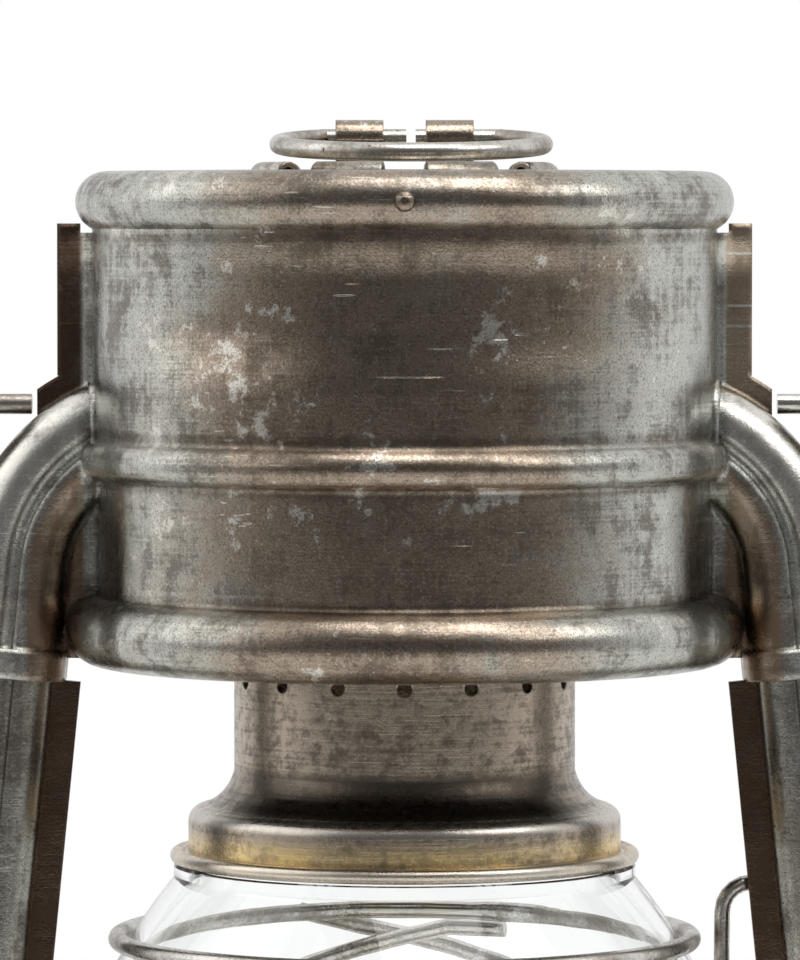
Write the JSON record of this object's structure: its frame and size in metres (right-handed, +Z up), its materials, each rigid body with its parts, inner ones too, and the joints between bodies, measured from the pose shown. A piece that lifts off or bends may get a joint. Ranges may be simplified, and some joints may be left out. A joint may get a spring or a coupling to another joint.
{
  "type": "hurricane lantern",
  "caption": "Tubular hurricane lantern of aged pressed steel with a round tank, flat-wick burner, glass globe in a wire guard, sprung chimney, beaded hood, lift ring and wire bail.",
  "frame": {"origin": "centre of the foot on the table", "axes": "+Z up, front towards -Y, air tubes along X"},
  "size_m": [0.15, 0.112, 0.2652],
  "materials": {
    "tank_steel": "aged satin",
    "cap_steel": "aged satin",
    "gasket_rubber": "matt",
    "burner_brass": "tarnished",
    "chamber_steel": "aged satin",
    "tube_steel": "aged satin",
    "hood_steel": "aged satin, worn",
    "lid_steel": "aged satin, worn",
    "rivet_steel": "worn",
    "inner_steel": "sooty",
    "spring_steel": "bright",
    "wire_steel": "drawn",
    "chimney_steel": "heat tinted",
    "lug_steel": "worn",
    "globe_glass": "clear",
    "wick_cotton": "woven"
  },
  "bodies": {
    "frame": {"tank_shell": "tank_steel", "tank_top": "tank_steel", "tank_bottom": "tank_steel", "filler_neck": "tank_steel", "burner_collar": "burner_brass", "air_chamber": "chamber_steel", "burner_deck": "burner_brass", "air_tube_left": "tube_steel", "air_tube_right": "tube_steel", "hood_front": "hood_steel", "hood_rear": "hood_steel", "hood_lid": "lid_steel", "lid_rivets": "rivet_steel", "flue_sleeve": "inner_steel", "chimney_spring": "spring_steel", "bail_ear_left": "tube_steel", "bail_ear_right": "tube_steel", "burner_body": "burner_brass", "burner_cone": "burner_brass", "lever_pivot": "rivet_steel"},
    "carriage": {"globe_plate": "chamber_steel", "globe": "globe_glass", "guard_ring": "wire_steel", "guard_wire_front_under": "wire_steel", "guard_wire_front_over": "wire_steel", "guard_wire_rear_under": "wire_steel", "guard_wire_rear_over": "wire_steel", "hook_wire_right": "wire_steel"},
    "chimney": {"chimney": "chimney_steel", "lift_bridge": "lug_steel"},
    "lift_ring": {"lift_ring": "wire_steel"},
    "bail": {"bail": "wire_steel"},
    "wick_drive": {"wick_shaft": "burner_brass", "wick_knob": "burner_brass"},
    "wick": {"wick": "wick_cotton"},
    "filler_cap": {"filler_cap": "cap_steel", "cap_gasket": "gasket_rubber"},
    "lift_lever": {"lift_lever": "tube_steel"}
  },
  "joints": [
    {"name": "carriage_slide", "type": "slide", "parent": "frame", "child": "carriage", "axis": [0, 0, 1], "range_m": [0, 0.012]},
    {"name": "lever_hinge", "type": "hinge", "parent": "frame", "child": "lift_lever", "pos_m": [0.05345, -0.0076, 0.1052], "axis": [0, 1, 0], "range_deg": [0, 29.3]},
    {"name": "chimney_slide", "type": "slide", "parent": "carriage", "child": "chimney", "axis": [0, 0, 1], "range_m": [0, 0.008], "stiffness_N_per_m": 120, "deforming": ["chimney_spring"]},
    {"name": "ring_hinge", "type": "hinge", "parent": "chimney", "child": "lift_ring", "pos_m": [0, 0, 0.2632], "axis": [-1, 0, 0], "range_deg": [0, 172]},
    {"name": "bail_hinge", "type": "hinge", "parent": "frame", "child": "bail", "pos_m": [0, 0, 0.2343], "axis": [1, 0, 0], "range_deg": [0, 308]},
    {"name": "knob_hinge", "type": "hinge", "parent": "frame", "child": "wick_drive", "pos_m": [0.0046, 0, 0.083], "axis": [0, 1, 0], "range_deg": [-63, 95]},
    {"name": "wick_slide", "type": "slide", "parent": "frame", "child": "wick", "axis": [0, 0, 1], "range_m": [-0.004, 0.006]},
    {"name": "cap_lift", "type": "slide", "parent": "frame", "child": "filler_cap", "axis": [0, 0, 1], "range_m": [0, 0.02]}
  ],
  "couplings": [
    {"joint": "lever_hinge", "follows": "carriage_slide", "rad_per_m": 42.6},
    {"joint": "wick_slide", "follows": "knob_hinge", "m_per_rad": 0.0036}
  ]
}
